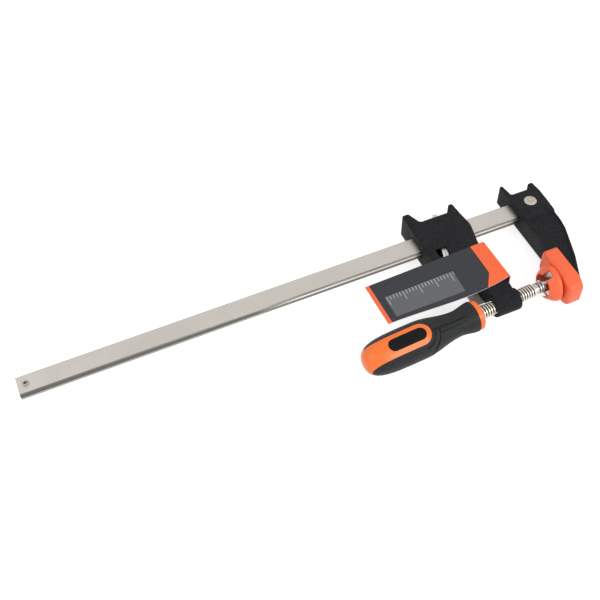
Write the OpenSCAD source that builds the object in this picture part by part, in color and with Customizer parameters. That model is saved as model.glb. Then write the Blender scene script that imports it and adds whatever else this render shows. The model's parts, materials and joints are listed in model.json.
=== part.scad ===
// Quick release bar clamp of the 300 mm (12 in) size, lying on its side.
// X runs along the bar towards the fixed jaw, both jaws reach along -Y, and +Z is up.
// The origin is where the spindle's axis meets the fixed jaw's clamping face.

/* [Bar] */
// Length of the flat bar, with the end that the fixed jaw holds
bar_len = 398; // [220:1:900]
// Width of the bar, across its wide face
bar_w = 15.5; // [12:0.5:22]
// Thickness of the bar
bar_t = 6.5; // [5:0.25:9]
// Chamfer along the bar's four long edges
bar_chamfer = 0.9; // [0.3:0.1:1.5]
// Diameter of the stop pin at the bar's free end
stop_pin_d = 4.5; // [3:0.5:6]
// Distance from the bar's free end to the stop pin
stop_pin_inset = 5.5; // [4:0.5:15]
// Height that the stop pin stands out of each wide face
stop_pin_proud = 1.1; // [0.8:0.1:2]

/* [Fixed jaw] */
// Depth of the throat, from the bar's near edge to the spindle's axis at the clamping face
throat = 60; // [45:1:120]
// Thickness of the fixed jaw along Z
jaw_h = 17.3; // [14:0.1:26]
// Length of bar inside the fixed jaw
bar_in_jaw = 19.5; // [14:0.5:24]
// Length of the jaw's head along the bar
head_len = 26.2; // [24:0.1:40]
// Diameter of the rivet that holds the bar
rivet_d = 5; // [3:0.5:7]
// Diameter of the rivet's heads
rivet_head_d = 9.3; // [7:0.1:12]
// Height of the rivet's domed heads
rivet_head_h = 1.2; // [0.8:0.1:2]
// Depth of the recess in the jaw's faces, inside its rim
jaw_recess = 0.8; // [0.3:0.1:1.2]
// Radius of the rounding along the jaw's edges
jaw_edge = 0.8; // [0.4:0.1:0.8]

/* [Fixed pad cover] */
// Thickness of the cover's clamping wall
cover_front = 2.2; // [1.5:0.1:4]
// Thickness of the cover's side and end walls
cover_wall = 1.85; // [1.2:0.05:3]
// How far the cover's clamping face stands in front of the jaw's face
cover_proud = 6.5; // [5.5:0.1:10]
// Length of the cover along X
cover_len = 11.8; // [11:0.1:13.5]
// Distance from the spindle's axis to the cover's open mouth
cover_up = 21.25; // [16:0.25:26]
// Distance from the spindle's axis to the cover's closed end
cover_down = 17.75; // [14:0.25:18]
// Lean of both clamping faces, which brings the jaw's tip closer to the arm
toe_in = 2.5; // [0:0.1:4]

/* [Sliding arm] */
// Length of the sliding arm's block along the bar
arm_len = 42; // [39:0.5:60]
// Thickness of the sliding arm along Z
arm_h = 20.3; // [18:0.1:30]
// Clearance round the bar in the arm's slot
bar_clear = 0.6; // [0.3:0.05:0.9]
// Radius of the rounding along the arm's edges
arm_edge = 1.2; // [0.5:0.1:1.2]
// Diameter of the boss that carries the spindle
boss_d = 16; // [15:0.5:20]
// Length of the boss along the bar
boss_len = 19.8; // [17:0.1:21]
// How far the boss stands ahead of the block's middle, towards the fixed jaw
boss_ahead = 11.9; // [10.5:0.1:12.5]
// Radius of the rounding at the boss's ends
boss_edge = 1.5; // [0.5:0.1:1.8]
// Depth of the panels in the arm's faces, between its ribs
panel_depth = 4; // [2:0.5:5]
// Wall between the clutch cavity and the block's rear face
rear_wall = 5.6; // [4:0.1:7]
// Wall above and below the clutch cavity
cavity_skin = 1.75; // [1.2:0.05:2.2]
// Metal over the bar at the block's back, between the horns
back_wall = 6.8; // [6:0.1:9]

/* [Clutch] */
// Thickness of one clutch plate
plate_t = 1.8; // [1.5:0.1:2.8]
// Cant of the clutch plates when they grip the bar
plate_cant = 17.5; // [10:0.1:18]
// Distance from the bar's middle to the plates' fulcrum
fulcrum_drop = 17.5; // [16:0.25:18.5]
// Distance from the block's rear face to the plates' fulcrum
fulcrum_in = 13.5; // [13:0.1:14.5]
// Height of the release tab above the bar's middle
tab_up = 20.75; // [18.5:0.05:24]
// Width of the release tab along Z
tab_w = 11; // [8:0.5:12]
// Clearance round the bar in the plates' holes, and between the plates
plate_clear = 0.3; // [0.15:0.05:0.4]
// Outer diameter of the clutch spring
spring_d = 4; // [3.2:0.1:4]
// Wire diameter of the clutch spring
spring_wire = 0.7; // [0.5:0.05:0.9]
// Coils of the clutch spring
spring_coils = 6; // [4:1:8]

/* [Spindle] */
// Diameter of the spindle's thread
spindle_d = 10; // [8:0.5:10.5]
// Cant of the spindle, whose pad end leans towards the bar
spindle_cant = 3.3; // [0:0.1:4]
// Distance from the boss to the pad end's shoulder
thread_ahead = 17.2; // [16:0.1:40]
// Length of thread between the boss and the handle's collar
thread_behind = 12.6; // [6:0.1:60]
// Length of the plain shank between the thread and the shoulder
shank_len = 3.4; // [2:0.2:8]
// Diameter of the plain shank
shank_d = 8; // [7:0.2:9]
// Radial running clearance of the spindle in its boss, and of the ring on its neck
run_clear = 0.05; // [0.02:0.01:0.1]
// Diameter of the spindle's ball end
ball_d = 7; // [6:0.1:7.4]
// Diameter of the neck behind the ball
neck_d = 4.8; // [4:0.1:5]
// Thickness of the retaining ring on the neck
ring_t = 1.5; // [1:0.1:2]
// Depth to which the thread's full diameter reaches into the handle
seat_depth = 6; // [3:0.5:10]
// Depth to which the spindle's thinner tang reaches into the handle
tang_depth = 62; // [40:1:70]

/* [Swivel pad] */
// Gap between the two pads
pad_gap = 1.4; // [1.2:0.1:40]
// Diameter of the swivel pad's clamping face
pad_d = 27; // [24:0.2:36]
// Diameter of the pad cover's open rim
pad_rim_d = 19.2; // [16:0.2:22]
// Length of the pad cover
pad_len = 8.6; // [8:0.1:12]
// Thickness of the pad cover's wall
pad_wall = 1.7; // [1.2:0.1:2.2]
// Width of the pad cover's two notches
notch_w = 6.5; // [5:0.5:8]
// Thickness of the steel shoe's flange
shoe_t = 1.8; // [1.2:0.1:2.2]
// Steel between the shoe's socket and its flat front
shoe_wall = 1.2; // [0.8:0.1:2]
// How far the shoe's barrel reaches behind the ball's middle
barrel_reach = 4; // [3.4:0.1:5]
// Outer diameter of the shoe's barrel
barrel_d = 9.4; // [9.2:0.1:11]

/* [Handle] */
// Length of the handle
handle_len = 89.8; // [80:0.2:120]
// Radius at the collar
collar_r = 10.8; // [9:0.1:14]
// Length of the collar
collar_len = 4.2; // [3:0.1:6]
// Radius where the grip flares out behind the collar
flare_r = 11.1; // [9.5:0.1:14]
// Radius of the neck
waist_r = 9.2; // [8:0.1:12]
// Distance from the collar's face to the neck
waist_at = 17; // [12:0.5:22]
// Radius of the belly
belly_r = 13.5; // [11:0.1:17]
// Distance from the collar's face to the belly
belly_at = 48; // [42:0.5:56]
// Thickness of the soft grip over the core
grip_t = 1.6; // [1:0.1:2.4]
// Length of bare core at the butt
butt_len = 2.4; // [2:0.2:5]
// Half width of the bare panel of the core
panel_r = 7.9; // [6:0.1:8.5]
// Distance from the collar's face to the panel's round end
panel_at = 41; // [38:0.5:46]
// Turn of the panel about the spindle, from straight up towards -Y
panel_roll = 13; // [0:1:90]
// Half width of the inlay in the panel
inlay_r = 4.5; // [3:0.1:5.5]
// Length of the inlay
inlay_len = 28.5; // [20:0.5:30]
// Thickness of the inlay
inlay_t = 0.8; // [0.5:0.1:1.2]
// Depth of the grooves in the soft grip
groove_depth = 0.4; // [0.2:0.1:0.7]

/* [Hang card] */
// Length of the card's front leaf
card_len = 97; // [60:1:130]
// Length of the card's back leaf
card_back_len = 27; // [20:1:60]
// Width of the card
card_w = 35; // [20:0.5:40]
// Thickness of the card
card_t = 0.5; // [0.3:0.05:0.8]
// Distance from the bar's middle to the card's near edge
card_drop = 22.5; // [22:0.5:26]
// Turn of the card about Z, as it hangs askew on the arm
card_skew = 1.6; // [0:0.1:2]

/* [Hidden] */
$fn = 64;
eps = 0.01;      // overlap of cutting tools with open air
seat_gap = 0.3;  // gap between pieces that rest loosely on each other

// Lines along and across the bar
bar_y = throat + bar_w / 2;
jaw_x = cover_proud;
bar_end_x = jaw_x + bar_in_jaw;
bar_free_x = bar_end_x - bar_len;
head_x = jaw_x + head_len;
rivet_x = bar_end_x - bar_in_jaw * 0.294;

// Stations along the spindle's axis, negative behind the clamping face
face_s = -pad_gap;
ball_s = face_s - cover_front - shoe_wall - run_clear - ball_d / 2;
barrel_end_s = ball_s - barrel_reach;
ring_s = barrel_end_s - 0.9 - ring_t;
shoulder_s = ring_s - seat_gap;
boss_front_s = shoulder_s - thread_ahead;
boss_rear_s = boss_front_s - boss_len;
collar_s = boss_rear_s - thread_behind;
seat_s = collar_s - seat_depth;
tang_s = collar_s - tang_depth;
tang_d = spindle_d * 0.8;

// The sliding arm's block
arm_mid_x = (boss_front_s + boss_rear_s) / 2 * cos(spindle_cant) - boss_ahead;
arm_rear_x = arm_mid_x - arm_len / 2;
arm_front_x = arm_mid_x + arm_len / 2;
arm_back_y = bar_y + bar_w / 2 + back_wall;
boss_x = (boss_front_s + boss_rear_s) / 2 * cos(spindle_cant);
boss_y = (boss_front_s + boss_rear_s) / 2 * sin(spindle_cant);

// The clutch
stack_t = 2 * plate_t + plate_clear;
fulcrum = [arm_rear_x + fulcrum_in, bar_y - fulcrum_drop];
cavity_x = arm_rear_x + rear_wall;
cavity_front_x = fulcrum[0] + stack_t / 2 + 0.35;
cavity_top = arm_back_y - 1.6;
cavity_h = arm_h - 2 * cavity_skin;
plate_h = cavity_h - 2 * plate_clear;
tail_down = 5.8;
hole_mid = fulcrum_drop / cos(plate_cant);
hole_half = (bar_w + stack_t * sin(plate_cant)) / 2 / cos(plate_cant) + plate_clear;
tab_end = (fulcrum_drop + tab_up) / cos(plate_cant);
shoulder_up = (fulcrum_drop + bar_w / 2 + 3.2) / cos(plate_cant);
spring_y = bar_y + bar_w / 2 + bar_clear + 0.3 + spring_d / 2;

// Turns the +X direction's geometry onto the spindle's canted axis.
module on_spindle() {
    rotate([0, 0, spindle_cant]) children();
}

// Turns a profile of [distance along the axis, radius] points about the axis.
module revolve(profile) {
    rotate([0, 90, 0]) rotate_extrude() polygon([for (p = profile) [p[1], p[0]]]);
}

// A bar along X with its centre line on the axis.
module rod(d, from, to) {
    translate([from, 0, 0]) rotate([0, 90, 0]) cylinder(d = d, h = to - from);
}

// A vector's direction, of length 1.
function unit(v) = v / norm(v);

// Corner arc of an outline: corner = [x, y, radius], between its neighbours.
function corner_arc(before, corner, after) =
    let (c = [corner[0], corner[1]],
         u = unit([before[0], before[1]] - c),
         v = unit([after[0], after[1]] - c),
         half = acos(u * v) / 2,
         reach = corner[2] / tan(half),
         middle = c + unit(u + v) * corner[2] / sin(half),
         start = c + u * reach - middle,
         end = c + v * reach - middle,
         turn = cross(start, end) > 0 ? 180 - 2 * half : 2 * half - 180,
         steps = max(2, ceil(abs(turn) / 15)))
    [for (i = [0 : steps])
        let (a = turn * i / steps)
        middle + [start[0] * cos(a) - start[1] * sin(a), start[0] * sin(a) + start[1] * cos(a)]];

// Outline through corners of the form [x, y, radius]; a radius of 0 keeps the corner sharp.
function rounded(corners) =
    let (n = len(corners))
    [for (i = [0 : n - 1])
        each corners[i][2] == 0
            ? [[corners[i][0], corners[i][1]]]
            : corner_arc(corners[(i + n - 1) % n], corners[i], corners[(i + 1) % n])];

// A clockwise outline set in by a depth, each side staying parallel to itself.
function inset(outline, depth) =
    let (n = len(outline))
    [for (i = [0 : n - 1])
        let (u = unit(outline[i] - outline[(i + n - 1) % n]),
             v = unit(outline[(i + 1) % n] - outline[i]),
             across = [u[1] + v[1], -u[0] - v[0]])
        outline[i] + across * depth / (1 + u * v)];

// A ring that runs round an outline and cuts the rounding of its upper edge.
module edge_cutter(outline, h, edge) {
    n = len(outline);
    clear = 0.6;
    section = concat([for (a = [0 : 30 : 90]) [edge * (1 - cos(a)), h / 2 - edge * (1 - sin(a))]],
                     [[edge, h / 2 + clear], [-clear, h / 2 + clear], [-clear, h / 2 - edge]]);
    m = len(section);
    polyhedron([for (s = section) each [for (p = inset(outline, s[0])) [p[0], p[1], s[1]]]],
               [for (k = [0 : m - 1]) for (i = [0 : n - 1])
                   let (here = k * n, above = (k + 1) % m * n, next = (i + 1) % n)
                   [here + i, above + i, above + next, here + next]]);
}

// A casting blank: a clockwise outline of thickness h along Z, with its edges rounded.
module rounded_slab(outline, h, edge) {
    difference() {
        linear_extrude(h, center = true) polygon(outline);
        for (side = [0, 1]) mirror([0, 0, side]) edge_cutter(outline, h, edge);
    }
}

// Section of the bar in the Y-Z plane, grown by a clearance, and extruded along X.
module bar_length(from, to, clear = 0) {
    w = bar_w / 2 + clear;
    t = bar_t / 2 + clear;
    c = bar_chamfer;
    translate([from, bar_y, 0]) rotate([90, 0, 90]) linear_extrude(to - from)
        polygon([[-w, c - t], [c - w, -t], [w - c, -t], [w, c - t],
                 [w, t - c], [w - c, t], [c - w, t], [-w, t - c]]);
}

module bar() {
    color("#c3c3c1") difference() {
        bar_length(bar_free_x, bar_end_x);
        translate([bar_free_x + stop_pin_inset, bar_y, -bar_t]) cylinder(d = stop_pin_d, h = 2 * bar_t);
        translate([rivet_x, bar_y, -bar_t]) cylinder(d = rivet_d, h = 2 * bar_t);
    }
}

// A rolled spring pin, split along one side.
module stop_pin() {
    length = bar_t + 2 * stop_pin_proud;
    color("#a9a9a6") translate([bar_free_x + stop_pin_inset, bar_y, -length / 2]) difference() {
        cylinder(d = stop_pin_d, h = length);
        translate([0, 0, -eps]) cylinder(d = stop_pin_d * 0.5, h = length + 2 * eps);
        translate([0, -0.35, -eps]) cube([stop_pin_d, 0.7, length + 2 * eps]);
    }
}

// How far the leaning clamping face stands towards +X at a given y.
function toe_shift(y) = y * tan(toe_in);

// The jaw's outline: horned head at the back, and an arm that narrows to the tip.
function jaw_outline() =
    let (tip_y = cover_wall - cover_down)
    rounded([
        [jaw_x, bar_y + 22.2, 1.2],
        [jaw_x + 2.6, bar_y + 22.2, 1.2],
        [jaw_x + 4.2, bar_y + 11.4, 1.5],
        [head_x - 7.7, bar_y + 11.4, 1.2],
        [head_x - 4.8, bar_y + 16.2, 1.6],
        [head_x - 1, bar_y + 16.4, 1.4],
        [head_x, bar_y + 6.4, 8],
        [head_x - 0.1, bar_y - 3.4, 8],
        [head_x - 0.6, bar_y - 14.4, 2.4],
        [head_x - 1.9, bar_y - 17.2, 2],
        [head_x - 2.1, bar_y - 24.7, 12],
        [head_x - 3.3, bar_y - 33.3, 12],
        [jaw_x + 14.6, throat * 0.146, 12],
        [jaw_x + 4.1, tip_y + 1, 1.4],
        [jaw_x + 2.9, tip_y, 1.4],
        [cover_front + toe_shift(tip_y), tip_y, 1.4],
        [cover_front + toe_shift(cover_up - 2.5), cover_up - 2.5, 1.4],
        [jaw_x, cover_up - 1, 0]
    ]);

// The recess in one face of the jaw, which leaves a rim along its edges.
module jaw_face_recess() {
    translate([0, 0, jaw_h / 2 - jaw_recess]) linear_extrude(2 * jaw_recess) polygon(rounded([
        [jaw_x + 2.2, bar_y - 16, 1.2],
        [head_x - 3.6, bar_y - 16.2, 1.2],
        [head_x - 2.9, bar_y - 23, 8],
        [head_x - 4.4, bar_y - 30.2, 10],
        [jaw_x + 18.3, throat * 0.417, 10],
        [jaw_x + 9.6, throat * 0.03, 1],
        [cover_len + 1.2, throat * 0.03, 1],
        [cover_len + 1.2, cover_up + 1.6, 1.5],
        [jaw_x + 2.2, cover_up + 1.6, 1.2]
    ]));
}

module fixed_jaw() {
    color("#2c2d30") difference() {
        rounded_slab(jaw_outline(), jaw_h, jaw_edge);
        bar_length(jaw_x - eps, bar_end_x);
        translate([rivet_x, bar_y, -jaw_h]) cylinder(d = rivet_d, h = 2 * jaw_h);
        for (side = [0, 1]) mirror([0, 0, side]) jaw_face_recess();
    }
}

// One domed head on each face, and a shank through jaw and bar.
module jaw_rivet() {
    head_r = rivet_head_d / 2;
    dome_r = (head_r * head_r + rivet_head_h * rivet_head_h) / 2 / rivet_head_h;
    color("#cfc9c1") translate([rivet_x, bar_y, 0]) {
        cylinder(d = rivet_d, h = jaw_h, center = true);
        for (side = [0, 1]) mirror([0, 0, side]) translate([0, 0, jaw_h / 2]) intersection() {
            translate([0, 0, rivet_head_h - dome_r]) sphere(r = dome_r);
            cylinder(r = head_r, h = rivet_head_h);
        }
    }
}

// Outline of the cover in the Y-Z plane, set in by a depth, and drawn back at its closed end.
module cover_face(depth, back = 0) {
    half = jaw_h / 2 + cover_wall - depth;
    end = depth + back - cover_down;
    rotate([90, 0, 90]) linear_extrude(eps) polygon(rounded([
        [end, -half, 5],
        [cover_up - depth, -half, 4],
        [cover_up - depth, half, 4],
        [end, half, 5]
    ]));
}

module fixed_pad_cover() {
    edge = 2.4;
    lip = 1.2;
    color("#ff6e4a") difference() {
        hull() {
            rotate([0, 0, -toe_in]) for (a = [0 : 30 : 90])
                translate([edge * (1 - cos(a)), 0, 0]) cover_face(edge * (1 - sin(a)));
            translate([cover_len - 1.4, 0, 0]) cover_face(0);
            translate([cover_len - eps, 0, 0]) cover_face(0, 4);
        }
        linear_extrude(jaw_h, center = true) polygon(jaw_outline());
        translate([cover_front + lip, cover_up - 5, -jaw_h / 2]) cube([cover_len, 10, jaw_h]);
        translate([jaw_x, 2 * cover_wall - cover_down, -jaw_h / 2])
            cube([cover_len, cover_up + cover_down, jaw_h]);
    }
}

// The sliding arm's outline: two horns, the block, and the web that reaches down to the boss.
function arm_outline() =
    let (by = bar_y)
    rounded([
        [arm_rear_x, by + 25.3, 1.6],
        [arm_rear_x + 5.6, by + 25.3, 1.6],
        [arm_rear_x + 9.8, arm_back_y, 2.5],
        [arm_front_x - 9.5, arm_back_y, 1.2],
        [arm_front_x - 5.2, by + 21.2, 1.6],
        [arm_front_x - 2, by + 21.4, 1.6],
        [arm_front_x - 1, by + 9.7, 12],
        [arm_front_x + 0.6, by - 2.6, 14],
        [arm_front_x - 1.8, by - 13.9, 12],
        [arm_front_x - 3.4, by - 20.7, 20],
        [arm_front_x - 1.4, boss_y + 11.5, 6],
        [arm_front_x - 2, boss_y + 4, 4],
        [arm_front_x - 2, boss_y, 0],
        [boss_x - boss_len / 2 + boss_edge, boss_y, 0],
        [boss_x - boss_len / 2 + boss_edge, boss_y + 10, 6],
        [boss_x - boss_len / 2 + 0.8, boss_y + 25, 6],
        [arm_rear_x + 8, by - 33.5, 10],
        [arm_rear_x + 0.9, by - 23.5, 8],
        [arm_rear_x, by - 6, 20]
    ]);

// Cuts the arm's faces so that it thins out from the clutch's cavity down to the boss.
module arm_taper() {
    thick = arm_h / 2;
    thin = min(thick, boss_d / 2) - 0.1;
    from_y = bar_y - fulcrum_drop - tail_down - 0.6;
    for (side = [0, 1]) mirror([0, 0, side])
        translate([arm_rear_x - 1, 0, 0]) rotate([90, 0, 90]) linear_extrude(arm_len + 2)
            polygon([[from_y, thick], [from_y, thick + 1], [boss_y - 1, thick + 1],
                     [boss_y - 1, thin], [boss_y, thin]]);
}

// The space in which the clutch plates stand and swing, open at the arm's back for their tabs.
module clutch_cavity() {
    foot_y = fulcrum[1] - tail_down - 0.6;
    rise = cavity_top - fulcrum[1];
    tab_x = fulcrum[0] - stack_t / 2 - 0.8;
    translate([0, 0, -cavity_h / 2]) linear_extrude(cavity_h) polygon([
        [cavity_x, foot_y],
        [cavity_front_x, foot_y],
        [cavity_front_x, fulcrum[1]],
        [cavity_front_x + rise * tan(plate_cant), cavity_top],
        [cavity_x, cavity_top]
    ]);
    translate([0, 0, -tab_w / 2 - plate_clear]) linear_extrude(tab_w + 2 * plate_clear) polygon([
        [tab_x, fulcrum[1]],
        [cavity_front_x, fulcrum[1]],
        [cavity_front_x + (rise + 4) * tan(plate_cant), cavity_top + 4],
        [tab_x, cavity_top + 4]
    ]);
    translate([cavity_x + 1.2, foot_y, 0]) cube([cavity_front_x - cavity_x - 1.2, tail_down + 4, arm_h]);
}

// The panel between the arm's ribs, on one face.
module arm_web_panel() {
    translate([0, 0, arm_h / 2 - panel_depth]) linear_extrude(panel_depth + 1) polygon(rounded([
        [arm_rear_x + 8.5, bar_y - 27.5, 2],
        [arm_front_x - 8, bar_y - 27.5, 2],
        [arm_front_x - 6.2, boss_y + boss_d / 2 + 5, 2],
        [boss_x - boss_len / 2 + 5.6, boss_y + boss_d / 2 + 5, 2],
        [boss_x - boss_len / 2 + 5, boss_y + 26, 3],
        [arm_rear_x + 13.5, bar_y - 32.5, 3]
    ]));
}

// The boss lies square to the bar; only its bore is canted.
module boss() {
    from = boss_x - boss_len / 2;
    to = boss_x + boss_len / 2;
    r = boss_d / 2;
    nose = [for (a = [0 : 15 : 90]) [to - boss_edge * (1 - cos(a)), r - boss_edge * (1 - sin(a))]];
    tail = [for (i = [len(nose) - 1 : -1 : 0]) [from + to - nose[i][0], nose[i][1]]];
    profile = concat([[to, 0]], nose, tail, [[from, 0]]);
    translate([0, boss_y, 0]) revolve(profile);
}

module sliding_arm() {
    mouth = 0.8;
    r = spindle_d / 2;
    color("#2c2d30") difference() {
        union() {
            difference() {
                rounded_slab(arm_outline(), arm_h, arm_edge);
                arm_taper();
                for (side = [0, 1]) mirror([0, 0, side]) arm_web_panel();
            }
            boss();
        }
        bar_length(arm_rear_x - eps, arm_front_x + 1, bar_clear);
        clutch_cavity();
        on_spindle() {
            rod(spindle_d + 2 * run_clear, boss_rear_s - 4, boss_front_s + 2);
            revolve([[boss_front_s - mouth - 0.3, 0], [boss_front_s - mouth - 0.3, r],
                     [boss_front_s + 0.7, r + mouth + 0.2], [boss_front_s + 0.7, 0]]);
            revolve([[boss_rear_s - 0.7, 0], [boss_rear_s - 0.7, r + mouth + 0.2],
                     [boss_rear_s + mouth + 0.3, r], [boss_rear_s + mouth + 0.3, 0]]);
        }
    }
}

// A pressed steel plate with a window for the bar and a release tab that stands out of the arm's back.
module clutch_plate(place) {
    color("#c9c9c6") translate([fulcrum[0], fulcrum[1], 0]) rotate([0, 0, -plate_cant])
        translate([place * (plate_t + plate_clear) / 2 - plate_t / 2, 0, 0]) rotate([90, 0, 90])
            linear_extrude(plate_t) difference() {
                polygon(rounded([
                    [-tail_down, -plate_h / 2, 1.5],
                    [shoulder_up, -plate_h / 2, 1.5],
                    [shoulder_up, -tab_w / 2, 0],
                    [tab_end, -tab_w / 2, 1.5],
                    [tab_end, tab_w / 2, 1.5],
                    [shoulder_up, tab_w / 2, 0],
                    [shoulder_up, plate_h / 2, 1.5],
                    [-tail_down, plate_h / 2, 1.5]
                ]));
                translate([hole_mid - hole_half, -bar_t / 2 - plate_clear])
                    square([2 * hole_half, bar_t + 2 * plate_clear]);
            }
}

module clutch_plate_rear() {
    clutch_plate(-1);
}

module clutch_plate_front() {
    clutch_plate(1);
}

// Rings of points along a helix round the X axis, joined into one closed wire.
module helix(radius, wire, length, coils) {
    steps = 14;
    sides = 6;
    count = steps * coils;
    ring = [for (i = [0 : count]) for (k = [0 : sides - 1])
        let (a = 360 * i / steps, b = 360 * k / sides, r = radius + wire / 2 * cos(b))
        [length * i / count + wire / 2 * sin(b), r * cos(a), r * sin(a)]];
    polyhedron(ring, concat(
        [[for (k = [0 : sides - 1]) k]],
        [[for (k = [0 : sides - 1]) count * sides + sides - 1 - k]],
        [for (i = [0 : count - 1]) for (k = [0 : sides - 1])
            let (a = i * sides + k, b = i * sides + (k + 1) % sides)
            [a, a + sides, b + sides, b]]));
}

module clutch_spring() {
    near_plate = fulcrum[0] + (spring_y - spring_d / 2 - fulcrum[1]) * tan(plate_cant)
                 - stack_t / 2 / cos(plate_cant);
    color("#b5b5b2") translate([cavity_x + spring_wire / 2, spring_y, 0])
        helix((spring_d - spring_wire) / 2, spring_wire,
              near_plate - cavity_x - spring_wire - seat_gap, spring_coils);
}

module spindle() {
    tang_r = tang_d / 2;
    neck_r = neck_d / 2;
    r = spindle_d / 2;
    shank_r = min(shank_d, spindle_d - 1) / 2;
    color("#b9b4a8") on_spindle() {
        revolve([[tang_s, 0], [tang_s, tang_r], [seat_s, tang_r], [seat_s, r],
                 [shoulder_s - shank_len - 1, r], [shoulder_s - shank_len, shank_r],
                 [shoulder_s - 0.5, shank_r], [shoulder_s, shank_r - 0.5], [shoulder_s, neck_r],
                 [ball_s, neck_r], [ball_s, 0]]);
        translate([ball_s, 0, 0]) sphere(d = ball_d);
    }
}

module retaining_ring() {
    color("#8f8f8b") on_spindle() difference() {
        rod(barrel_d - 1, ring_s, ring_s + ring_t);
        rod(neck_d + 2 * run_clear, ring_s - 1, ring_s + ring_t + 1);
    }
}

// The pad's own axis is square to the fixed pad's leaning face, and passes through the ball's centre.
module on_pad() {
    translate([ball_s * cos(spindle_cant), ball_s * sin(spindle_cant), 0])
        rotate([0, 0, -toe_in]) translate([-ball_s, 0, 0]) children();
}

module swivel_shoe() {
    front = face_s - cover_front;
    flange_r = pad_d / 2 - pad_wall - 0.6;
    socket_r = ball_d / 2 + run_clear;
    mouth_r = neck_d / 2 + 0.9;
    color("#d2d0ca") on_pad() difference() {
        revolve([[front, 0], [front, flange_r], [front - shoe_t, flange_r],
                 [front - shoe_t, barrel_d / 2], [barrel_end_s, barrel_d / 2], [barrel_end_s, 0]]);
        translate([ball_s, 0, 0]) sphere(r = socket_r);
        rod(2 * mouth_r, barrel_end_s - 1, ball_s);
    }
}

// A dished cup over the shoe, open at the back and notched at two sides.
module swivel_pad_cover() {
    rim_s = face_s - pad_len;
    front = face_s - cover_front;
    edge = 1;
    steps = 8;
    skirt = [for (i = [0 : steps])
        let (t = i / steps)
        [rim_s + (pad_len - edge) * t, pad_rim_d / 2 + (pad_d - pad_rim_d) / 2 * sin(90 * t)]];
    seat_r = pad_d / 2 - pad_wall - 0.6;
    color("#ff6e4a") on_pad() difference() {
        revolve(concat([[rim_s, 0]], skirt, [[face_s, pad_d / 2 - edge], [face_s, 0]]));
        revolve([[rim_s - eps, 0], [rim_s - eps, pad_rim_d / 2 - pad_wall + 0.5],
                 [front - shoe_t - 0.8, seat_r], [front, seat_r], [front, 0]]);
        translate([rim_s - eps, -notch_w / 2, -pad_d]) cube([pad_len / 2, notch_w, 2 * pad_d]);
    }
}

// Eases from a to b while t goes from 0 to 1.
function blend(a, b, t) = a + (b - a) * (1 - cos(180 * t)) / 2;

// The handle's outer radius at a distance u behind the collar's face.
function grip_r(u) =
    u < collar_len ? flare_r
    : u < waist_at ? blend(flare_r, waist_r, (u - collar_len) / (waist_at - collar_len))
    : u < belly_at ? blend(waist_r, belly_r, (u - waist_at) / (belly_at - waist_at))
    : belly_r * pow(1 - pow((u - belly_at) / (handle_len - belly_at), 4.5), 1 / 3);

// Points of the handle's outside between collar and butt, set in by a depth.
function grip_line(depth) =
    let (steps = 26, from = collar_len, to = handle_len - butt_len)
    [for (i = [0 : steps]) let (u = from + (to - from) * i / steps) [collar_s - u, grip_r(u) - depth]];

// The handle's solid between collar and butt up to a depth under its outside, drawn out at both ends.
module handle_body(depth, beyond = 0) {
    line = grip_line(depth);
    first = line[0];
    last = line[len(line) - 1];
    on_spindle() revolve(concat([[first[0] + beyond, 0], [first[0] + beyond, first[1]]], line,
                                [[last[0] - beyond, last[1]], [last[0] - beyond, 0]]));
}

// The tip of the handle, closed to the axis.
module handle_butt() {
    steps = 9;
    start = handle_len - butt_len;
    line = [for (i = [0 : steps])
        let (u = start + butt_len * sin(90 * i / steps)) [collar_s - u, max(0, grip_r(u))]];
    on_spindle() revolve(concat([[line[0][0], 0]], line));
}

// Stands a flat outline of [distance, offset] points on the panel's side of the handle.
module on_panel() {
    on_spindle() rotate([panel_roll, 0, 0]) linear_extrude(2 * belly_r) children();
}

// A long shape with a round end towards the collar and straight sides, between two distances.
module tongue(half_width, from, to, round_tail = false) {
    front = collar_s - from - half_width;
    rear = collar_s - to + (round_tail ? half_width : 0);
    translate([front, 0]) circle(r = half_width);
    translate([rear, -half_width]) square([front - rear, 2 * half_width]);
    if (round_tail) translate([rear, 0]) circle(r = half_width);
}

module panel_outline() {
    tongue(panel_r, panel_at, handle_len + 1);
}

module inlay_outline() {
    from = panel_at + panel_r - inlay_r;
    tongue(inlay_r, from, from + inlay_len, true);
}

module spindle_socket() {
    on_spindle() {
        rod(spindle_d, seat_s, collar_s + 1);
        rod(tang_d, tang_s, collar_s);
    }
}

// One moulding: collar, shaft under the grip, raised panel and butt.
module handle_core() {
    color("#ff8238") difference() {
        union() {
            on_spindle() revolve([[collar_s - collar_len, 0], [collar_s - collar_len, collar_r],
                                  [collar_s - 0.8, collar_r], [collar_s, collar_r - 0.8], [collar_s, 0]]);
            handle_body(grip_t);
            handle_butt();
            intersection() {
                handle_body(0);
                on_panel() panel_outline();
            }
        }
        spindle_socket();
        difference() {
            on_panel() inlay_outline();
            handle_body(inlay_t, 1);
        }
    }
}

// Two grooves along the neck, given as [turn from the panel, start], and two that curve round
// one side of the panel's end.
module grip_grooves() {
    width = 0.9;
    end = collar_s - panel_at - panel_r;
    for (groove = [[5, 0.5], [23, 6.5]]) on_spindle() rotate([panel_roll + groove[0], 0, 0])
        translate([end + panel_r + groove[1], -width / 2, 0])
            cube([panel_at - groove[1] - waist_at * 0.75, width, 2 * belly_r]);
    on_panel() for (away = [2.2, 6]) intersection() {
        difference() {
            translate([end, 0]) circle(r = panel_r + away + width);
            translate([end, 0]) circle(r = panel_r + away);
        }
        translate([end + 1, -2 * panel_r]) square([2 * panel_r, 2 * panel_r - 1]);
    }
}

// Soft overmould round the core, open over the panel.
module handle_grip() {
    color("#2b2c2e") difference() {
        handle_body(0);
        handle_body(grip_t, 1);
        on_panel() panel_outline();
        difference() {
            grip_grooves();
            handle_body(groove_depth, 1);
        }
    }
}

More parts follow.
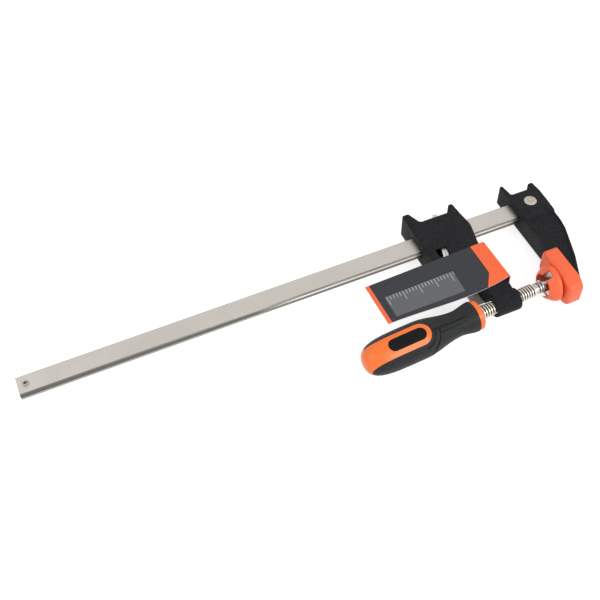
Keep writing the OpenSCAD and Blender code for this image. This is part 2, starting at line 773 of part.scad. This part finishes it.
module handle_inlay() {
    color("#1d1d1f") difference() {
        intersection() {
            on_panel() inlay_outline();
            handle_body(0.05);
        }
        handle_body(inlay_t, 1);
    }
}

// A printed card folded round the arm's front edge.
module hang_card() {
    z = arm_h / 2 + seat_gap;
    fold_x = arm_front_x + 0.5 + seat_gap;
    near_y = bar_y - card_drop - card_w;
    bend = 2;
    section = rounded([
        [fold_x + card_t - card_len, z + card_t, 0],
        [fold_x + card_t - card_len, z, 0],
        [fold_x, z, bend],
        [fold_x, -z, bend],
        [fold_x + card_t - card_back_len, -z, 0],
        [fold_x + card_t - card_back_len, -z - card_t, 0],
        [fold_x + card_t, -z - card_t, bend + card_t],
        [fold_x + card_t, z + card_t, bend + card_t]
    ]);
    color("#3c3c44") translate([fold_x, near_y + card_w / 2, 0]) rotate([0, 0, card_skew])
        translate([-fold_x, card_w / 2, 0]) rotate([90, 0, 0]) linear_extrude(card_w) polygon(section);
}

bar();
stop_pin();
fixed_jaw();
jaw_rivet();
fixed_pad_cover();
sliding_arm();
clutch_plate_rear();
clutch_plate_front();
clutch_spring();
spindle();
retaining_ring();
swivel_shoe();
swivel_pad_cover();
handle_core();
handle_grip();
handle_inlay();
hang_card();
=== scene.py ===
"""Looks of the quick release bar clamp, in metres, in the frame of its CAD model."""
import json
import math

import bmesh
import bpy
from mathutils import Matrix, Vector

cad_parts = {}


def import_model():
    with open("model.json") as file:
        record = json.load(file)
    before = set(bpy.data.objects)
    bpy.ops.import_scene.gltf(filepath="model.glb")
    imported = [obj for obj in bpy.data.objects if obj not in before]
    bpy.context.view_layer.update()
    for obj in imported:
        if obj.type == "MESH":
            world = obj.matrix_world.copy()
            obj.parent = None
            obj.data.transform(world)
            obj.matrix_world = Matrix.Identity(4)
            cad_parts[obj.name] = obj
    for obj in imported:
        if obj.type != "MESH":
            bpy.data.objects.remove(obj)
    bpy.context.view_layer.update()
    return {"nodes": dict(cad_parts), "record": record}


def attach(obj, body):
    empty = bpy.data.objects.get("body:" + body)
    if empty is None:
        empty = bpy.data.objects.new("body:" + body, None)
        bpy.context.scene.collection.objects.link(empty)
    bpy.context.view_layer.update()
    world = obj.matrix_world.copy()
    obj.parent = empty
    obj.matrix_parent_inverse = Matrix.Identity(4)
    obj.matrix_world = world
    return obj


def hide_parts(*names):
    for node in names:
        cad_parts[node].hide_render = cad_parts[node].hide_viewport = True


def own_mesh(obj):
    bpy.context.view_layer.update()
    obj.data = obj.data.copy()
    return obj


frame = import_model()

nodes = frame["nodes"]

SLOT_OF = {part["node"]: part["material_slot"] for part in frame["record"]["subparts"]}
BODIES = frame["record"]["behaviour"]["bodies"]
BODY_OF = {node: body for body, members in BODIES.items() for node in members}

# A point of the floor and its tilt: the handle is thicker than the castings, so the clamp lies askew
FLOOR_AT = (0, -0.005, -0.0139)
FLOOR_TILT = math.radians(1.8)

# The spindle: how much its axis leans towards the bar, and stations along it behind the clamping face
CANT = math.radians(3.3)
BALL = -0.00835
SHOULDER = -0.01505
THREAD_END = -0.01885
COLLAR = -0.06465

# The centre of the rivet's head, and the centre and radius of the ring that is moulded into the handle
RIVET_AT = (0.02027, 0.06775)
RING_AT = (-0.1445, -0.0095)
RING_R = 0.0072

# The hang card's front leaf: the middle of its fold, its turn about Z, its length and half its width
CARD_AT = (-0.03218, 0.02775)
CARD_SKEW = math.radians(1.6)
CARD_LEN = 0.097
CARD_HALF = 0.0175

# How much the edges of the castings and of the cap are rounded
EDGE_ROUNDING = {"sliding_arm": 0.0006, "fixed_jaw": 0.0006, "fixed_pad_cover": 0.0005}


# ---------------------------------------------------------------- shader helpers

class Shader:
    """One material: a Principled shader and the few node patterns that the part's finishes share."""

    def __init__(self, name, metallic=0.0):
        self.material = bpy.data.materials.new(name)
        self.material.use_nodes = True
        self.tree = self.material.node_tree
        self.bsdf = self.tree.nodes["Principled BSDF"]
        self.bsdf.inputs["Metallic"].default_value = metallic
        self.place = self.tree.nodes.new("ShaderNodeTexCoord").outputs["Object"]
        self.relief = None

    def node(self, kind, **inputs):
        """A new node, with its inputs set by name; an underscore stands for a space."""
        made = self.tree.nodes.new(kind)
        for key, value in inputs.items():
            self.plug(value, made.inputs[key.replace("_", " ")])
        return made

    def plug(self, value, socket):
        """Links another node's output to a socket, or sets the socket to a constant."""
        if isinstance(value, bpy.types.NodeSocket):
            self.tree.links.new(value, socket)
        else:
            socket.default_value = value

    def set(self, **inputs):
        """Sets inputs of the Principled shader."""
        for key, value in inputs.items():
            self.plug(value, self.bsdf.inputs[key.replace("_", " ")])
        return self

    def noise(self, scale, detail, roughness=0.55, stretch=(1, 1, 1)):
        """Cloudy noise in the clamp's own frame; scale is in features per metre."""
        spot = self.node("ShaderNodeMapping", Vector=self.place, Scale=stretch)
        made = self.node("ShaderNodeTexNoise", Vector=spot.outputs["Vector"],
                         Scale=scale, Detail=detail, Roughness=roughness)
        return made.outputs["Fac"]

    def cells(self, scale):
        """Distance to the nearest of many scattered points."""
        made = self.node("ShaderNodeTexVoronoi", Vector=self.place, Scale=scale)
        return made.outputs["Distance"]

    def ramp(self, fac, *stops):
        """Colours or grey values at positions of fac."""
        made = self.node("ShaderNodeValToRGB", Fac=fac)
        elements = made.color_ramp.elements
        while len(elements) < len(stops):
            elements.new(0.5)
        for element, (position, colour) in zip(elements, stops):
            element.position = position
            element.color = (*colour, 1) if isinstance(colour, tuple) else (colour, colour, colour, 1)
        return made.outputs["Color"]

    def math(self, operation, a, b=0.0):
        """One step of arithmetic."""
        made = self.tree.nodes.new("ShaderNodeMath")
        made.operation = operation
        self.plug(a, made.inputs[0])
        self.plug(b, made.inputs[1])
        return made.outputs["Value"]

    def mix(self, fac, a, b):
        """Colour a where fac is 0, and colour b where it is 1."""
        made = self.tree.nodes.new("ShaderNodeMix")
        made.data_type = "RGBA"
        self.plug(fac, made.inputs["Factor"])
        for key, colour in (("A", a), ("B", b)):
            opaque = colour if isinstance(colour, bpy.types.NodeSocket) else (*colour, 1)
            self.plug(opaque, made.inputs[key])
        return made.outputs["Result"]

    def axis(self, which, source=None):
        """The X, Y or Z part of a vector, or else of the place on the surface."""
        made = self.node("ShaderNodeSeparateXYZ", Vector=source or self.place)
        return made.outputs[which]

    def facing(self, which):
        """The X, Y or Z part of the surface's direction."""
        return self.axis(which, self.tree.nodes["Texture Coordinate"].outputs["Normal"])

    def turned(self, centre, angle=0.0):
        """Coordinates along and across a direction in the X-Y plane, measured from a centre."""
        x = self.math("SUBTRACT", self.axis("X"), centre[0])
        y = self.math("SUBTRACT", self.axis("Y"), centre[1])
        along = self.math("ADD", self.math("MULTIPLY", x, math.cos(angle)),
                          self.math("MULTIPLY", y, math.sin(angle)))
        across = self.math("SUBTRACT", self.math("MULTIPLY", y, math.cos(angle)),
                           self.math("MULTIPLY", x, math.sin(angle)))
        return along, across

    def length(self, a, b):
        """The length of a vector with the parts a and b."""
        squares = self.math("ADD", self.math("MULTIPLY", a, a), self.math("MULTIPLY", b, b))
        return self.math("SQRT", squares)

    def between(self, value, low, high):
        """1 where a value lies between two limits, and 0 elsewhere."""
        above = self.math("GREATER_THAN", value, low)
        return self.math("MULTIPLY", above, self.math("LESS_THAN", value, high))

    def raise_by(self, height, distance, strength):
        """Adds a bump; later calls lie on top of earlier ones."""
        made = self.node("ShaderNodeBump", Height=height, Distance=distance, Strength=strength)
        if self.relief is not None:
            self.plug(self.relief, made.inputs["Normal"])
        self.relief = made.outputs["Normal"]
        self.plug(self.relief, self.bsdf.inputs["Normal"])
        return self


# ---------------------------------------------------------------- finishes

def nickel_steel():
    """Satin plating with fine draw lines along the bar, faint clouds, and reflections and highlights
    painted in bands across the narrow faces.
    """
    look = Shader("nickel_steel", metallic=1.0)
    lines = look.noise(60, 4, 0.6, (1, 60, 60))
    clouds = look.noise(38, 3)
    wide = look.mix(clouds, (0.52, 0.485, 0.445), (0.64, 0.6, 0.555))

    # Painted dark reflections and bright highlights, in bands across a narrow face; height goes from about
    # 0 at its lower edge to about 1 at its upper edge.
    # The free half's values take over from the jaw half's where X goes from -170 to -205 mm.
    height = look.math("ADD", look.math("MULTIPLY", look.axis("Z"), 150), 0.5)
    free_half_painted_bands = look.ramp(height, (0.2, 0.38), (0.4, 0.3), (0.55, 0.07), (0.7, 0.12), (0.87, 0.12),
                          (0.95, 0.22))
    jaw_half_painted_bands = look.ramp(height, (0.1, 0.42), (0.28, 0.17), (0.45, 0.14), (0.53, 0.24), (0.66, 0.85),
                         (0.76, 0.74), (0.86, 0.1), (0.95, 0.06))
    to_free_half = look.ramp(look.math("MULTIPLY", look.axis("X"), -4), (0.68, 0.0), (0.82, 1.0))
    painted_reflection_bands = look.mix(look.mix(to_free_half, jaw_half_painted_bands, free_half_painted_bands), (0.0, 0.0, 0.0), (1.0, 0.955, 0.885))

    off_wide_face = look.math("LESS_THAN", look.math("ABSOLUTE", look.facing("Z")), 0.9)
    wear = look.math("ADD", look.math("MULTIPLY", lines, 0.6), look.math("MULTIPLY", clouds, 0.4))
    # The narrow faces take the painted reflection and highlight bands in place of the plating's clouds
    look.set(Base_Color=look.mix(off_wide_face, wide, painted_reflection_bands),
             Roughness=look.ramp(wear, (0.35, 0.3), (0.65, 0.46)))
    return look.raise_by(lines, 0.00003, 0.5)


def bare_steel(name, colour, roughness):
    """Plated pressing or wire, lightly mottled."""
    look = Shader(name, metallic=1.0)
    mottle = look.noise(900, 4)
    shade = tuple(c * 0.82 for c in colour)
    look.set(Base_Color=look.mix(mottle, shade, colour),
             Roughness=look.ramp(mottle, (0.3, roughness - 0.08), (0.7, roughness + 0.12)))
    return look.raise_by(mottle, 0.00004, 0.4)


def rivet_steel():
    """Pressed rivet head with a shallow dimple left by the tool, and a darker ring at the dimple's rim."""
    look = Shader("rivet_steel", metallic=1.0)
    away = look.math("MULTIPLY", look.length(*look.turned(RIVET_AT)), 200)
    mottle = look.noise(900, 4)
    worn = look.mix(mottle, (0.42, 0.37, 0.32), (0.66, 0.6, 0.54))
    rim = look.ramp(away, (0.3, 0.0), (0.42, 0.7), (0.54, 0.0))
    look.set(Base_Color=look.mix(rim, worn, (0.28, 0.25, 0.22)),
             Roughness=look.ramp(mottle, (0.3, 0.28), (0.7, 0.46)))
    return look.raise_by(look.ramp(away, (0.2, 0.0), (0.5, 1.0)), 0.0006, 0.8)


def spindle_steel():
    """Plated rolled thread, with shade painted dark in its roots and highlights painted bright on its
    crests, and a plain shank ahead of it.
    """
    look = Shader("spindle_steel", metallic=1.0)
    along, across = look.turned((0, 0), CANT)
    height = look.math("MULTIPLY", look.math("SUBTRACT", look.length(across, look.axis("Z")), 0.0039), 900)
    # Painted shade in the thread's roots and painted highlights on its crests, set by the distance from
    # the axis
    painted_thread_shading = look.ramp(look.math("ADD", height, look.math("MULTIPLY", look.noise(900, 3), 0.3)),
                       (0.12, (0.06, 0.05, 0.038)), (0.45, (0.28, 0.25, 0.2)), (0.85, (0.8, 0.76, 0.69)))
    on_shank = look.math("GREATER_THAN", along, THREAD_END)
    return look.set(Base_Color=look.mix(on_shank, painted_thread_shading, (0.5, 0.475, 0.43)),
                    Roughness=look.ramp(look.noise(1200, 3), (0.3, 0.22), (0.7, 0.36)))


def black_casting():
    """Textured powder coat on iron: a mottled skin, fine peel and sparse glints."""
    look = Shader("black_casting")
    skin = look.noise(520, 5, 0.62)
    peel = look.noise(1500, 3, 0.6)
    grain = look.noise(5200, 2)
    look.set(Base_Color=look.ramp(skin, (0.32, (0.009, 0.0093, 0.0105)), (0.7, (0.022, 0.0225, 0.0245))),
             Roughness=look.ramp(grain, (0.35, 0.46), (0.7, 0.66)), Specular_IOR_Level=0.09)
    look.raise_by(skin, 0.0008, 0.7)
    look.raise_by(peel, 0.0004, 0.8)
    return look.raise_by(grain, 0.00008, 0.5)


def moulding(name, colour, roughness, grain=2600):
    """Moulded plastic with a fine spark finish."""
    look = Shader(name)
    fine = look.noise(grain, 3)
    tone = look.noise(120, 2)
    dull = tuple(c * 0.94 for c in colour)
    look.set(Base_Color=look.mix(tone, dull, colour),
             Roughness=look.ramp(fine, (0.3, roughness - 0.06), (0.7, roughness + 0.08)))
    return look.raise_by(fine, 0.00003, 0.5)


def orange_core():
    """The handle's moulding, with a shallow moulded ring near its butt."""
    look = moulding("orange_core", (0.96, 0.176, 0.02), 0.36)
    line = look.math("ABSOLUTE", look.math("SUBTRACT", look.length(*look.turned(RING_AT)), RING_R))
    return look.raise_by(look.ramp(look.math("MULTIPLY", line, 1800), (0.0, 0.0), (1.0, 1.0)), 0.0003, 0.6)


def black_inlay():
    """The handle's inlay: fine grained and hardly shiny."""
    return moulding("black_inlay", (0.006, 0.006, 0.0065), 0.6, 4000).set(Specular_IOR_Level=0.12)


def black_grip():
    """Rubbery overmould with a fine matt grain, with shade painted darker down in its grooves."""
    look = Shader("black_grip")
    grain = look.cells(2400)
    tone = look.mix(look.noise(90, 2), (0.013, 0.014, 0.015), (0.019, 0.02, 0.022))
    # Painted shade: the colour darkens where the grip's own surface closes in, down in its grooves
    painted_shade_occlusion = look.node("ShaderNodeAmbientOcclusion", Distance=0.002)
    painted_shade_occlusion.only_local = True
    clear_of_painted_shade = look.ramp(painted_shade_occlusion.outputs["AO"], (0.6, 0.0), (0.97, 1.0))
    look.set(Base_Color=look.mix(clear_of_painted_shade, (0.002, 0.002, 0.002), tone),
             Roughness=look.ramp(look.noise(700, 3), (0.3, 0.46), (0.7, 0.62)), Specular_IOR_Level=0.22)
    return look.raise_by(grain, 0.00006, 0.5)


def printed_card():
    """Coated card: charcoal, an orange block and strip, a plain scale of ticks, and pale board inside."""
    block_end, strip_start = -0.0118, -0.0936
    flare_start, flare = -0.0085, 0.68
    panel_along, panel_across = (-0.0885, -0.0345), (-0.0145, 0.0035)
    tick_width = 0.0006

    look = Shader("printed_card")
    along, across = look.turned(CARD_AT, CARD_SKEW)
    tone = look.noise(500, 3)
    colour = look.mix(tone, (0.025, 0.0265, 0.031), (0.036, 0.0375, 0.0435))

    panel = look.math("MULTIPLY", look.between(along, *panel_along), look.between(across, *panel_across))
    colour = look.mix(panel, colour, look.mix(tone, (0.095, 0.098, 0.106), (0.13, 0.134, 0.142)))
    # A metre is added before the remainder is taken, so that it is taken of a positive number
    for pitch, tick_foot in ((0.0025, 0.0), (0.0125, -0.004)):
        tick = look.math("LESS_THAN", look.math("MODULO", look.math("ADD", along, 1.0), pitch), tick_width)
        tick = look.math("MULTIPLY", tick, look.between(across, tick_foot, panel_across[1]))
        colour = look.mix(look.math("MULTIPLY", tick, panel), colour, (0.36, 0.37, 0.39))

    past_start = look.math("MAXIMUM", look.math("SUBTRACT", flare_start, across), 0.0)
    spread = look.math("MULTIPLY", past_start, flare)
    block = look.math("GREATER_THAN", look.math("ADD", along, spread), block_end)
    strip = look.math("LESS_THAN", along, strip_start)
    colour = look.mix(look.math("MAXIMUM", block, strip), colour, (0.9, 0.14, 0.044))

    # The board shows on the card's cut edges and on the faces that its leaves turn to each other
    cut_edge = look.math("GREATER_THAN", look.math("ABSOLUTE", look.facing("Y")), 0.7)
    inside = look.math("LESS_THAN", look.math("MULTIPLY", look.axis("Z"), look.facing("Z")), -0.003)
    look.set(Base_Color=look.mix(look.math("MAXIMUM", cut_edge, inside), colour, (0.72, 0.71, 0.69)),
             Roughness=0.35, Specular_IOR_Level=0.3)
    return look.raise_by(look.noise(2500, 3), 0.00002, 0.3)


FINISHES = {
    "nickel_steel": nickel_steel(),
    "pin_steel": bare_steel("pin_steel", (0.5, 0.49, 0.47), 0.38),
    "rivet_steel": rivet_steel(),
    "plate_steel": bare_steel("plate_steel", (0.74, 0.74, 0.73), 0.34),
    "spring_steel": bare_steel("spring_steel", (0.5, 0.5, 0.49), 0.35),
    "spindle_steel": spindle_steel(),
    "shoe_steel": bare_steel("shoe_steel", (0.66, 0.63, 0.57), 0.28),
    "black_casting": black_casting(),
    "coral_pad": moulding("coral_pad", (0.93, 0.137, 0.043), 0.42),
    "orange_core": orange_core(),
    "black_inlay": black_inlay(),
    "black_grip": black_grip(),
    "printed_card": printed_card(),
}


def paint(piece, slot):
    """Gives a piece the finish of a material slot, and nothing else."""
    piece.data.materials.clear()
    piece.data.materials.append(FINISHES[slot].material)


# ---------------------------------------------------------------- pieces

def smooth_mesh(shape, name, painted_shade_occlusion):
    """Ends a bmesh as a smooth mesh, with its edges sharp where they turn by more than crease degrees."""
    mesh = bpy.data.meshes.new(name)
    shape.to_mesh(mesh)
    shape.free()
    mesh.shade_smooth()
    mesh.set_sharp_from_angle(angle=math.radians(painted_shade_occlusion))
    return mesh


def merged_copy(node):
    """A CAD node's shape as a bmesh, with the corners that faces share joined."""
    shape = bmesh.new()
    shape.from_mesh(nodes[node].data)
    bmesh.ops.remove_doubles(shape, verts=shape.verts, dist=1e-6)
    return shape


def add_piece(mesh, node):
    """Shows a finished mesh in place of a CAD node, on the same body and with the same finish."""
    body, slot = BODY_OF[node], SLOT_OF[node]
    piece = bpy.data.objects.new(mesh.name, mesh)
    bpy.context.scene.collection.objects.link(piece)
    paint(piece, slot)
    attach(piece, body)
    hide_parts(node)
    return piece


def soften(node, width):
    """Rounds the sharp edges of a CAD node, as its casting or moulding has them."""
    flat, sharp = math.radians(1.5), math.radians(32)
    shape = merged_copy(node)
    bmesh.ops.dissolve_limit(shape, angle_limit=flat, verts=shape.verts, edges=shape.edges)
    corners = [edge for edge in shape.edges if edge.calc_face_angle(0) > sharp]
    bmesh.ops.bevel(shape, geom=corners, offset=width, segments=3, profile=0.5,
                    affect="EDGES", clamp_overlap=True)
    bmesh.ops.dissolve_degenerate(shape, dist=1e-6, edges=shape.edges)
    add_piece(smooth_mesh(shape, node + "_soft", 35), node)


def add_point(shape, station, radius, angle):
    """Adds a point at a station along the spindle's axis, a radius and an angle about it."""
    return shape.verts.new((station, radius * math.cos(angle), radius * math.sin(angle)))


def add_thread(shape, start, end, crest, root, pitch, steps):
    """Adds a thread between two stations: one long wound strip, cut off square at both ends."""
    # The thread's outline, as shares of the pitch and the radius there
    form = [(0.0, root), (0.1, root), (0.32, crest), (0.6, crest), (0.82, root)]
    turns = math.ceil((end - start) / pitch) + 1
    rows = []
    for i in range(turns * steps + 1):
        row = []
        for share, form_radius in form:
            station = start + pitch * (i / steps - 1 + share)
            radius = form_radius if start < station < end else root
            station = min(max(station, start), end)
            row.append(add_point(shape, station, radius, 2 * math.pi * i / steps))
        rows.append(row)
    for i in range(len(rows) - 1):
        for j in range(len(form) - 1):
            shape.faces.new((rows[i][j], rows[i][j + 1], rows[i + 1][j + 1], rows[i + 1][j]))
        if i + steps < len(rows) - 1:
            shape.faces.new((rows[i][-1], rows[i + steps][0], rows[i + steps + 1][0], rows[i + 1][-1]))


def add_turned(shape, profile, sides):
    """Adds a turned surface about the spindle's axis from (station, radius) points."""
    angles = [2 * math.pi * k / sides for k in range(sides)]
    rings = [[add_point(shape, station, radius, angle) for angle in angles] for station, radius in profile]
    for here, ahead in zip(rings, rings[1:]):
        for k in range(sides):
            after = (k + 1) % sides
            shape.faces.new((here[k], ahead[k], ahead[after], here[after]))


def threaded_spindle():
    """The screw: rolled thread, plain shank, neck and ball, closed where it ends inside the handle."""
    crest, root, pitch, steps = 0.005, 0.00395, 0.002, 40
    shank_r, neck_r, ball_r = 0.00398, 0.0024, 0.0035
    runout, chamfer, ball_rows = 0.0002, 0.0005, 14
    hidden_end = COLLAR - 0.0045
    neck_turn = math.asin(neck_r / ball_r)
    ball_turns = [neck_turn + (math.pi - neck_turn) * k / ball_rows for k in range(ball_rows + 1)]
    shank = [(THREAD_END, root), (THREAD_END + runout, shank_r), (SHOULDER - chamfer, shank_r),
             (SHOULDER, shank_r - chamfer), (SHOULDER, neck_r)]
    ball = [(BALL - ball_r * math.cos(turn), ball_r * math.sin(turn)) for turn in ball_turns]
    shape = bmesh.new()
    add_thread(shape, hidden_end, THREAD_END, crest, root, pitch, steps)
    add_turned(shape, shank + ball, steps)
    bmesh.ops.remove_doubles(shape, verts=shape.verts, dist=1e-7)
    bmesh.ops.holes_fill(shape, edges=shape.edges, sides=0)
    bmesh.ops.recalc_face_normals(shape, faces=shape.faces)
    shape.transform(Matrix.Rotation(CANT, 4, "Z"))
    add_piece(smooth_mesh(shape, "threaded_spindle", 40), "spindle")


def pressed_spring():
    """The clutch spring, which the plates press to half its length when they are released, shown as a copy
    of its CAD shape with a mesh of its own.
    """
    mesh = nodes["clutch_spring"].data.copy()
    mesh.name = "pressed_spring"
    piece = add_piece(mesh, "clutch_spring")
    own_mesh(piece)


def bowed_card():
    """The hang card, whose front leaf sags and swells a little along the edge beside the handle."""
    leaf_height, sag, swell = 0.0104, 0.0025, 0.0016
    strips, rows = 24, 8
    shape = merged_copy("hang_card")
    to_card = Matrix.Rotation(-CARD_SKEW, 4, "Z") @ Matrix.Translation((-CARD_AT[0], -CARD_AT[1], 0))
    shape.transform(to_card)
    cuts = [((-CARD_LEN * k / strips, 0, 0), (1, 0, 0)) for k in range(1, strips)]
    cuts += [((0, CARD_HALF * (2 * k / rows - 1), 0), (0, 1, 0)) for k in range(1, rows)]
    for place, direction in cuts:
        whole = [*shape.verts, *shape.edges, *shape.faces]
        bmesh.ops.bisect_plane(shape, geom=whole, plane_co=place, plane_no=direction)
    for vert in shape.verts:
        if vert.co.z > leaf_height:
            along = min(max(-vert.co.x / CARD_LEN, 0), 1)
            down = min(max((1 - vert.co.y / CARD_HALF) / 2, 0), 1)
            bow = 6.75 * along * (1 - along) ** 2 * down ** 2   # at most 1, a third of the way along
            vert.co -= Vector((0, swell, sag)) * bow
    shape.transform(to_card.inverted())
    add_piece(smooth_mesh(shape, "bowed_card", 35), "hang_card")


# ---------------------------------------------------------------- camera, floor and light

def camera():
    """The photograph's view: place, turn and focal length."""
    place = Vector((-0.3090, -0.30745, 0.5095))
    right = Vector((0.92015, -0.39017, -0.03294))
    down = Vector((-0.32826, -0.7228, -0.60811))
    forward = Vector((0.21346, 0.57037, -0.79317))
    data = bpy.data.cameras.new("camera")
    data.lens = 54.44
    data.sensor_width = 36
    data.clip_start = 0.01
    made = bpy.data.objects.new("camera", data)
    turn = Matrix((right, -down, -forward)).transposed()
    made.matrix_world = Matrix.Translation(place) @ turn.to_4x4()
    bpy.context.scene.collection.objects.link(made)
    bpy.context.scene.camera = made


def seen(tree):
    """1 for rays from the camera and for those that metal or glass passes on, and 0 for the rest."""
    path = tree.nodes.new("ShaderNodeLightPath").outputs
    either = path["Is Camera Ray"]
    for kind in ("Is Glossy Ray", "Is Transmission Ray"):
        larger = tree.nodes.new("ShaderNodeMath")
        larger.operation = "MAXIMUM"
        tree.links.new(either, larger.inputs[0])
        tree.links.new(path[kind], larger.inputs[1])
        either = larger.outputs["Value"]
    return either


def floor():
    """A pale floor that the clamp lies on, white to the camera and in reflections except in shadow."""
    bpy.ops.mesh.primitive_plane_add(size=12, location=FLOOR_AT, rotation=(FLOOR_TILT, 0, 0))
    piece = bpy.context.object
    piece.name = "floor"
    look = Shader("floor").set(Base_Color=(0.6, 0.6, 0.6, 1), Roughness=0.9, Specular_IOR_Level=0.1)
    glow = look.node("ShaderNodeEmission", Color=(1, 1, 1, 1), Strength=0.72)
    both = look.tree.nodes.new("ShaderNodeAddShader")
    look.plug(look.bsdf.outputs[0], both.inputs[0])
    look.plug(glow.outputs[0], both.inputs[1])
    lit = look.node("ShaderNodeMixShader", Fac=seen(look.tree))
    look.plug(look.bsdf.outputs[0], lit.inputs[1])
    look.plug(both.outputs[0], lit.inputs[2])
    look.plug(lit.outputs[0], look.tree.nodes["Material Output"].inputs["Surface"])
    piece.data.materials.append(look.material)


def lamp(name, place, size, watts):
    """A round soft lamp aimed at the middle of the clamp."""
    aim = Vector((-0.1, 0.03, 0))
    data = bpy.data.lights.new(name, "AREA")
    data.shape = "DISK"
    data.size = size
    data.energy = watts
    made = bpy.data.objects.new(name, data)
    made.location = place
    made.rotation_euler = (aim - Vector(place)).to_track_quat("-Z", "Y").to_euler()
    bpy.context.scene.collection.objects.link(made)


def world():
    """White to the camera and in reflections, softer as light."""
    as_light, as_seen = 0.7, 1.0
    made = bpy.data.worlds.new("studio")
    bpy.context.scene.world = made
    made.use_nodes = True
    tree = made.node_tree
    back = tree.nodes["Background"]
    strength = tree.nodes.new("ShaderNodeMix")
    strength.inputs["A"].default_value = as_light
    strength.inputs["B"].default_value = as_seen
    tree.links.new(seen(tree), strength.inputs["Factor"])
    tree.links.new(strength.outputs["Result"], back.inputs["Strength"])
    back.inputs["Color"].default_value = (1, 1, 1, 1)


camera()
floor()
world()
lamp("side", (-1.0, 0.05, 0.62), 1.2, 3)
lamp("front", (0.28, -0.86, 0.67), 0.6, 6)
bpy.context.scene.view_settings.view_transform = "Standard"

for name, node in nodes.items():
    paint(node, SLOT_OF[name])
for name, width in EDGE_ROUNDING.items():
    soften(name, width)
threaded_spindle()
pressed_spring()
bowed_card()
